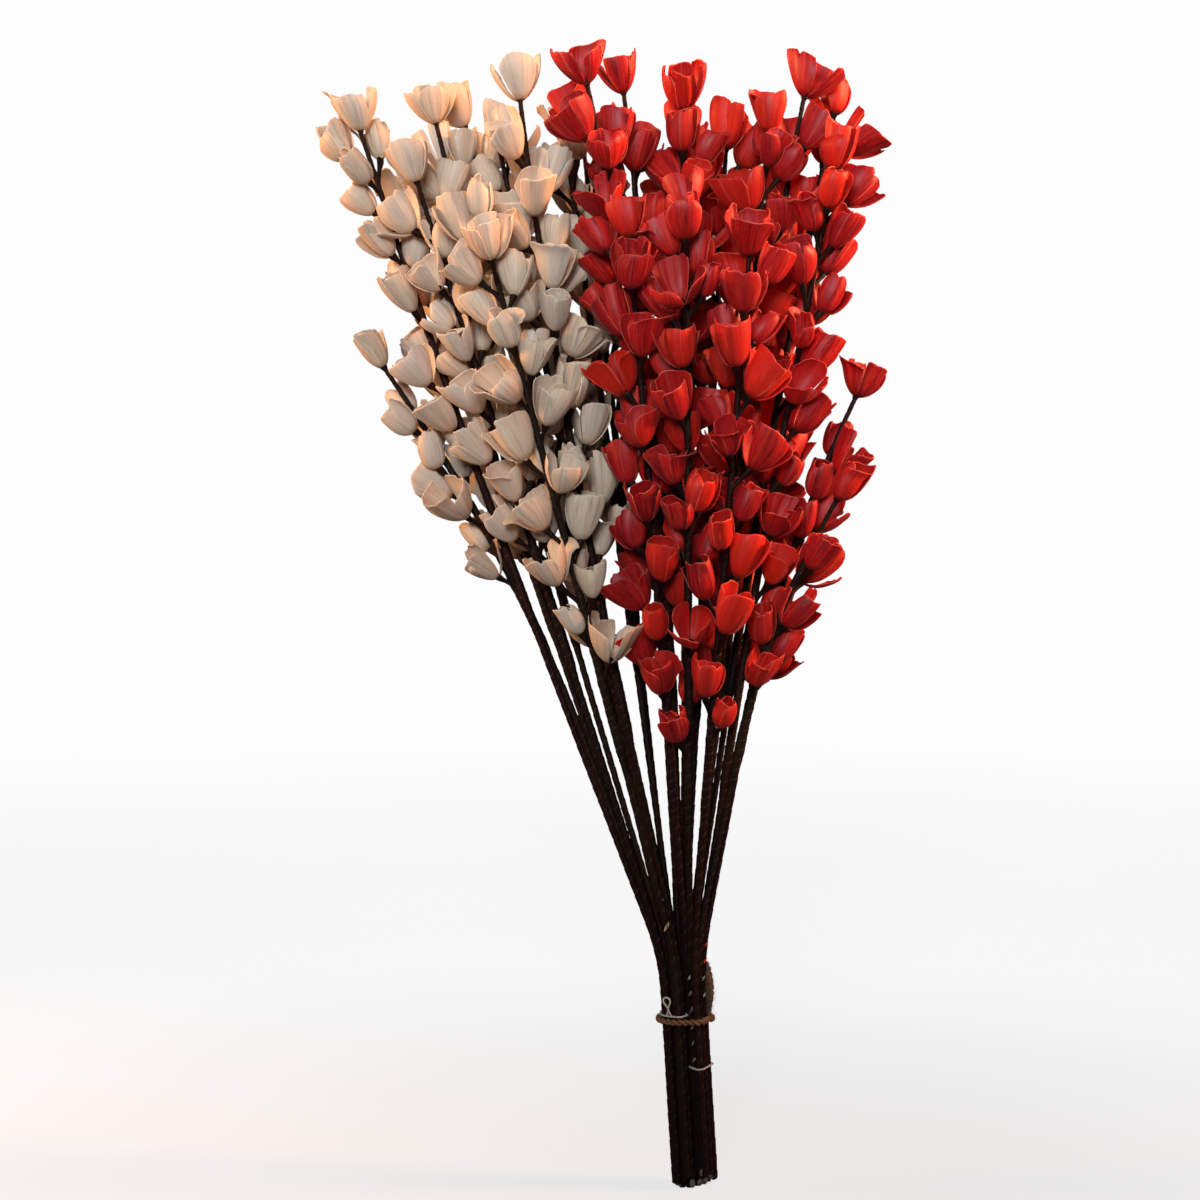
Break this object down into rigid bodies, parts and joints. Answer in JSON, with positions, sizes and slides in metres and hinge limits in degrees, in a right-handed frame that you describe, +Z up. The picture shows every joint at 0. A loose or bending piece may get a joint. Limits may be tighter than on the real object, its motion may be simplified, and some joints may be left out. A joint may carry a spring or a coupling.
{
  "type": "palm leaf flower bunch",
  "caption": "Tied bunch of long tape-bound bamboo sticks, each with a spray of small palm leaf flower heads, white on one side and red on the other.",
  "frame": {"origin": "middle of the tied foot in the plane of the lowest cut stick ends", "axes": "+Z up along the bunch, +X to the viewer's right (the red side), -Y towards the viewer"},
  "size_m": [0.4613, 0.2686, 0.9232],
  "materials": {
    "taped_stick": "bamboo wound with dark brown crepe tape, satin",
    "white_palm_leaf": "ivory shaved palm leaf with fine lengthwise veins, soft sheen, on a stem bound with dark tape",
    "red_palm_leaf": "crimson dyed palm leaf with fine lengthwise veins, soft sheen, on a stem bound with dark tape",
    "jute": "two-strand brown jute twine, matt",
    "string": "off-white cotton string, matt"
  },
  "bodies": {
    "bunch": {"white_stick_01": "taped_stick", "white_stick_02": "taped_stick", "white_stick_03": "taped_stick", "white_stick_04": "taped_stick", "white_stick_05": "taped_stick", "white_stick_06": "taped_stick", "white_stick_07": "taped_stick", "white_stick_08": "taped_stick", "white_stick_09": "taped_stick", "white_stick_10": "taped_stick", "white_stick_11": "taped_stick", "white_spray_01": "white_palm_leaf", "white_spray_02": "white_palm_leaf", "white_spray_03": "white_palm_leaf", "white_spray_04": "white_palm_leaf", "white_spray_05": "white_palm_leaf", "white_spray_06": "white_palm_leaf", "white_spray_07": "white_palm_leaf", "white_spray_08": "white_palm_leaf", "white_spray_09": "white_palm_leaf", "white_spray_10": "white_palm_leaf", "white_spray_11": "white_palm_leaf", "red_stick_01": "taped_stick", "red_stick_02": "taped_stick", "red_stick_03": "taped_stick", "red_stick_04": "taped_stick", "red_stick_05": "taped_stick", "red_stick_06": "taped_stick", "red_stick_07": "taped_stick", "red_stick_08": "taped_stick", "red_stick_09": "taped_stick", "red_stick_10": "taped_stick", "red_stick_11": "taped_stick", "red_stick_12": "taped_stick", "red_stick_13": "taped_stick", "red_stick_14": "taped_stick", "red_stick_15": "taped_stick", "red_spray_01": "red_palm_leaf", "red_spray_02": "red_palm_leaf", "red_spray_03": "red_palm_leaf", "red_spray_04": "red_palm_leaf", "red_spray_05": "red_palm_leaf", "red_spray_06": "red_palm_leaf", "red_spray_07": "red_palm_leaf", "red_spray_08": "red_palm_leaf", "red_spray_09": "red_palm_leaf", "red_spray_10": "red_palm_leaf", "red_spray_11": "red_palm_leaf", "red_spray_12": "red_palm_leaf", "red_spray_13": "red_palm_leaf", "red_spray_14": "red_palm_leaf", "red_spray_15": "red_palm_leaf"},
    "loose_stem": {"red_stick_16": "taped_stick", "red_spray_16": "red_palm_leaf"},
    "jute_tie": {"jute_band": "jute", "jute_bow": "jute"},
    "white_tie": {"white_group_string": "string", "white_string_loop": "string"},
    "red_tie": {"red_group_string": "string"}
  },
  "joints": [
    {"name": "stem_draw", "type": "slide", "parent": "bunch", "child": "loose_stem", "axis": [-0.0599, 0, 0.9982], "range_m": [0, 0.145]},
    {"name": "jute_slide", "type": "slide", "parent": "bunch", "child": "jute_tie", "axis": [-0.0599, 0, 0.9982], "range_m": [-0.034, 0]},
    {"name": "white_string_slide", "type": "slide", "parent": "bunch", "child": "white_tie", "axis": [-0.0599, 0, 0.9982], "range_m": [0, 0.008]},
    {"name": "red_string_slide", "type": "slide", "parent": "bunch", "child": "red_tie", "axis": [-0.0599, 0, 0.9982], "range_m": [-0.08, 0]}
  ]
}
